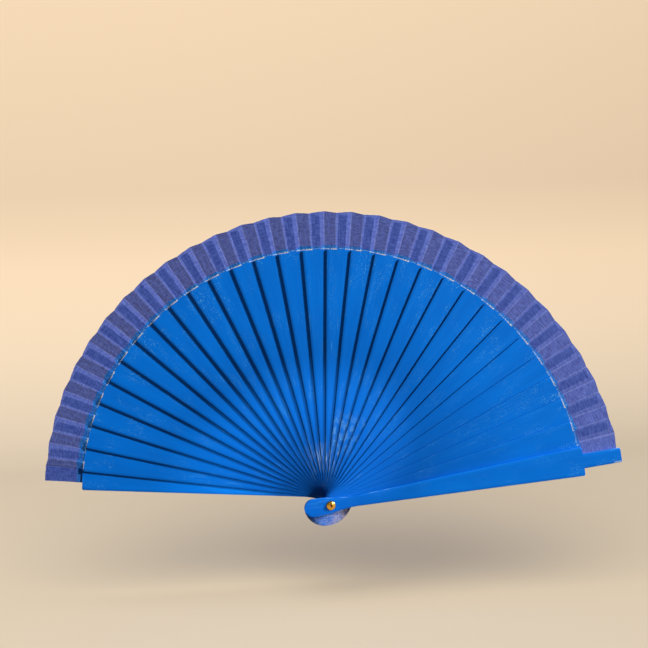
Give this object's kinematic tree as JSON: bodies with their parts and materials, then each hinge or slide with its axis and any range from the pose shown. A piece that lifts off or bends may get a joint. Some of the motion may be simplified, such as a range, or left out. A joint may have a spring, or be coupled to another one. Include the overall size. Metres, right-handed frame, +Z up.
{
  "type": "folding fan",
  "caption": "Painted wooden folding fan, shown open: flat tapered sticks between two guards turn on one brass rivet and carry a narrow pleated cloth leaf along their tips.",
  "frame": {"origin": "on the rivet's axis, half way through the stack of blades", "axes": "+Z up the middle of the open fan, +X towards the front guard, -Y out of the front face; the rivet lies along Y"},
  "size_m": [0.4192, 0.0379, 0.228],
  "materials": {
    "stick_paint": "thin blue paint on planed wood, satin, worn to bare wood at the shoulders and scuffed near the rivet",
    "guard_paint": "blue paint on planed wood, satin, slightly glossier than the sticks",
    "leaf_cloth": "thin plain-woven blue-violet cotton, glued to the tips of the sticks, sharply pleated",
    "rivet_brass": "polished brass, rubbed"
  },
  "bodies": {
    "rear_guard": {"rear_guard": "guard_paint", "rivet": "rivet_brass", "rivet_washer": "rivet_brass", "leaf": "leaf_cloth"},
    "stick_29": {"stick_29": "stick_paint"},
    "stick_28": {"stick_28": "stick_paint"},
    "stick_27": {"stick_27": "stick_paint"},
    "stick_26": {"stick_26": "stick_paint"},
    "stick_25": {"stick_25": "stick_paint"},
    "stick_24": {"stick_24": "stick_paint"},
    "stick_23": {"stick_23": "stick_paint"},
    "stick_22": {"stick_22": "stick_paint"},
    "stick_21": {"stick_21": "stick_paint"},
    "stick_20": {"stick_20": "stick_paint"},
    "stick_19": {"stick_19": "stick_paint"},
    "stick_18": {"stick_18": "stick_paint"},
    "stick_17": {"stick_17": "stick_paint"},
    "stick_16": {"stick_16": "stick_paint"},
    "stick_15": {"stick_15": "stick_paint"},
    "stick_14": {"stick_14": "stick_paint"},
    "stick_13": {"stick_13": "stick_paint"},
    "stick_12": {"stick_12": "stick_paint"},
    "stick_11": {"stick_11": "stick_paint"},
    "stick_10": {"stick_10": "stick_paint"},
    "stick_09": {"stick_09": "stick_paint"},
    "stick_08": {"stick_08": "stick_paint"},
    "stick_07": {"stick_07": "stick_paint"},
    "stick_06": {"stick_06": "stick_paint"},
    "stick_05": {"stick_05": "stick_paint"},
    "stick_04": {"stick_04": "stick_paint"},
    "stick_03": {"stick_03": "stick_paint"},
    "stick_02": {"stick_02": "stick_paint"},
    "stick_01": {"stick_01": "stick_paint"},
    "front_guard": {"front_guard": "guard_paint"}
  },
  "joints": [
    {"name": "fan_fold", "type": "hinge", "parent": "rear_guard", "child": "stick_29", "pos_m": [0, 0, 0], "axis": [0, -1, 0], "range_deg": [0, 4.5], "deforming": ["leaf"]},
    {"name": "stick_28_pivot", "type": "hinge", "parent": "stick_29", "child": "stick_28", "pos_m": [0, 0, 0], "axis": [0, -1, 0], "range_deg": [0, 5.55], "deforming": ["leaf"]},
    {"name": "stick_27_pivot", "type": "hinge", "parent": "stick_28", "child": "stick_27", "pos_m": [0, 0, 0], "axis": [0, -1, 0], "range_deg": [0, 5.55], "deforming": ["leaf"]},
    {"name": "stick_26_pivot", "type": "hinge", "parent": "stick_27", "child": "stick_26", "pos_m": [0, 0, 0], "axis": [0, -1, 0], "range_deg": [0, 5.55], "deforming": ["leaf"]},
    {"name": "stick_25_pivot", "type": "hinge", "parent": "stick_26", "child": "stick_25", "pos_m": [0, 0, 0], "axis": [0, -1, 0], "range_deg": [0, 5.55], "deforming": ["leaf"]},
    {"name": "stick_24_pivot", "type": "hinge", "parent": "stick_25", "child": "stick_24", "pos_m": [0, 0, 0], "axis": [0, -1, 0], "range_deg": [0, 5.55], "deforming": ["leaf"]},
    {"name": "stick_23_pivot", "type": "hinge", "parent": "stick_24", "child": "stick_23", "pos_m": [0, 0, 0], "axis": [0, -1, 0], "range_deg": [0, 5.55], "deforming": ["leaf"]},
    {"name": "stick_22_pivot", "type": "hinge", "parent": "stick_23", "child": "stick_22", "pos_m": [0, 0, 0], "axis": [0, -1, 0], "range_deg": [0, 5.55], "deforming": ["leaf"]},
    {"name": "stick_21_pivot", "type": "hinge", "parent": "stick_22", "child": "stick_21", "pos_m": [0, 0, 0], "axis": [0, -1, 0], "range_deg": [0, 5.55], "deforming": ["leaf"]},
    {"name": "stick_20_pivot", "type": "hinge", "parent": "stick_21", "child": "stick_20", "pos_m": [0, 0, 0], "axis": [0, -1, 0], "range_deg": [0, 5.55], "deforming": ["leaf"]},
    {"name": "stick_19_pivot", "type": "hinge", "parent": "stick_20", "child": "stick_19", "pos_m": [0, 0, 0], "axis": [0, -1, 0], "range_deg": [0, 5.55], "deforming": ["leaf"]},
    {"name": "stick_18_pivot", "type": "hinge", "parent": "stick_19", "child": "stick_18", "pos_m": [0, 0, 0], "axis": [0, -1, 0], "range_deg": [0, 5.55], "deforming": ["leaf"]},
    {"name": "stick_17_pivot", "type": "hinge", "parent": "stick_18", "child": "stick_17", "pos_m": [0, 0, 0], "axis": [0, -1, 0], "range_deg": [0, 5.55], "deforming": ["leaf"]},
    {"name": "stick_16_pivot", "type": "hinge", "parent": "stick_17", "child": "stick_16", "pos_m": [0, 0, 0], "axis": [0, -1, 0], "range_deg": [0, 5.55], "deforming": ["leaf"]},
    {"name": "stick_15_pivot", "type": "hinge", "parent": "stick_16", "child": "stick_15", "pos_m": [0, 0, 0], "axis": [0, -1, 0], "range_deg": [0, 5.55], "deforming": ["leaf"]},
    {"name": "stick_14_pivot", "type": "hinge", "parent": "stick_15", "child": "stick_14", "pos_m": [0, 0, 0], "axis": [0, -1, 0], "range_deg": [0, 5.55], "deforming": ["leaf"]},
    {"name": "stick_13_pivot", "type": "hinge", "parent": "stick_14", "child": "stick_13", "pos_m": [0, 0, 0], "axis": [0, -1, 0], "range_deg": [0, 5.55], "deforming": ["leaf"]},
    {"name": "stick_12_pivot", "type": "hinge", "parent": "stick_13", "child": "stick_12", "pos_m": [0, 0, 0], "axis": [0, -1, 0], "range_deg": [0, 5.55], "deforming": ["leaf"]},
    {"name": "stick_11_pivot", "type": "hinge", "parent": "stick_12", "child": "stick_11", "pos_m": [0, 0, 0], "axis": [0, -1, 0], "range_deg": [0, 5.55], "deforming": ["leaf"]},
    {"name": "stick_10_pivot", "type": "hinge", "parent": "stick_11", "child": "stick_10", "pos_m": [0, 0, 0], "axis": [0, -1, 0], "range_deg": [0, 5.55], "deforming": ["leaf"]},
    {"name": "stick_09_pivot", "type": "hinge", "parent": "stick_10", "child": "stick_09", "pos_m": [0, 0, 0], "axis": [0, -1, 0], "range_deg": [0, 5.55], "deforming": ["leaf"]},
    {"name": "stick_08_pivot", "type": "hinge", "parent": "stick_09", "child": "stick_08", "pos_m": [0, 0, 0], "axis": [0, -1, 0], "range_deg": [0, 5.55], "deforming": ["leaf"]},
    {"name": "stick_07_pivot", "type": "hinge", "parent": "stick_08", "child": "stick_07", "pos_m": [0, 0, 0], "axis": [0, -1, 0], "range_deg": [0, 5.55], "deforming": ["leaf"]},
    {"name": "stick_06_pivot", "type": "hinge", "parent": "stick_07", "child": "stick_06", "pos_m": [0, 0, 0], "axis": [0, -1, 0], "range_deg": [0, 5.55], "deforming": ["leaf"]},
    {"name": "stick_05_pivot", "type": "hinge", "parent": "stick_06", "child": "stick_05", "pos_m": [0, 0, 0], "axis": [0, -1, 0], "range_deg": [0, 5.55], "deforming": ["leaf"]},
    {"name": "stick_04_pivot", "type": "hinge", "parent": "stick_05", "child": "stick_04", "pos_m": [0, 0, 0], "axis": [0, -1, 0], "range_deg": [0, 5.55], "deforming": ["leaf"]},
    {"name": "stick_03_pivot", "type": "hinge", "parent": "stick_04", "child": "stick_03", "pos_m": [0, 0, 0], "axis": [0, -1, 0], "range_deg": [0, 5.55], "deforming": ["leaf"]},
    {"name": "stick_02_pivot", "type": "hinge", "parent": "stick_03", "child": "stick_02", "pos_m": [0, 0, 0], "axis": [0, -1, 0], "range_deg": [0, 5.55], "deforming": ["leaf"]},
    {"name": "stick_01_pivot", "type": "hinge", "parent": "stick_02", "child": "stick_01", "pos_m": [0, 0, 0], "axis": [0, -1, 0], "range_deg": [0, 5.55], "deforming": ["leaf"]},
    {"name": "front_guard_pivot", "type": "hinge", "parent": "stick_01", "child": "front_guard", "pos_m": [0, 0, 0], "axis": [0, -1, 0], "range_deg": [0, 6.1], "deforming": ["leaf"]}
  ],
  "couplings": [
    {"joint": "stick_28_pivot", "follows": "fan_fold", "ratio": 1.2333},
    {"joint": "stick_27_pivot", "follows": "fan_fold", "ratio": 1.2333},
    {"joint": "stick_26_pivot", "follows": "fan_fold", "ratio": 1.2333},
    {"joint": "stick_25_pivot", "follows": "fan_fold", "ratio": 1.2333},
    {"joint": "stick_24_pivot", "follows": "fan_fold", "ratio": 1.2333},
    {"joint": "stick_23_pivot", "follows": "fan_fold", "ratio": 1.2333},
    {"joint": "stick_22_pivot", "follows": "fan_fold", "ratio": 1.2333},
    {"joint": "stick_21_pivot", "follows": "fan_fold", "ratio": 1.2333},
    {"joint": "stick_20_pivot", "follows": "fan_fold", "ratio": 1.2333},
    {"joint": "stick_19_pivot", "follows": "fan_fold", "ratio": 1.2333},
    {"joint": "stick_18_pivot", "follows": "fan_fold", "ratio": 1.2333},
    {"joint": "stick_17_pivot", "follows": "fan_fold", "ratio": 1.2333},
    {"joint": "stick_16_pivot", "follows": "fan_fold", "ratio": 1.2333},
    {"joint": "stick_15_pivot", "follows": "fan_fold", "ratio": 1.2333},
    {"joint": "stick_14_pivot", "follows": "fan_fold", "ratio": 1.2333},
    {"joint": "stick_13_pivot", "follows": "fan_fold", "ratio": 1.2333},
    {"joint": "stick_12_pivot", "follows": "fan_fold", "ratio": 1.2333},
    {"joint": "stick_11_pivot", "follows": "fan_fold", "ratio": 1.2333},
    {"joint": "stick_10_pivot", "follows": "fan_fold", "ratio": 1.2333},
    {"joint": "stick_09_pivot", "follows": "fan_fold", "ratio": 1.2333},
    {"joint": "stick_08_pivot", "follows": "fan_fold", "ratio": 1.2333},
    {"joint": "stick_07_pivot", "follows": "fan_fold", "ratio": 1.2333},
    {"joint": "stick_06_pivot", "follows": "fan_fold", "ratio": 1.2333},
    {"joint": "stick_05_pivot", "follows": "fan_fold", "ratio": 1.2333},
    {"joint": "stick_04_pivot", "follows": "fan_fold", "ratio": 1.2333},
    {"joint": "stick_03_pivot", "follows": "fan_fold", "ratio": 1.2333},
    {"joint": "stick_02_pivot", "follows": "fan_fold", "ratio": 1.2333},
    {"joint": "stick_01_pivot", "follows": "fan_fold", "ratio": 1.2333},
    {"joint": "front_guard_pivot", "follows": "fan_fold", "ratio": 1.3556}
  ]
}
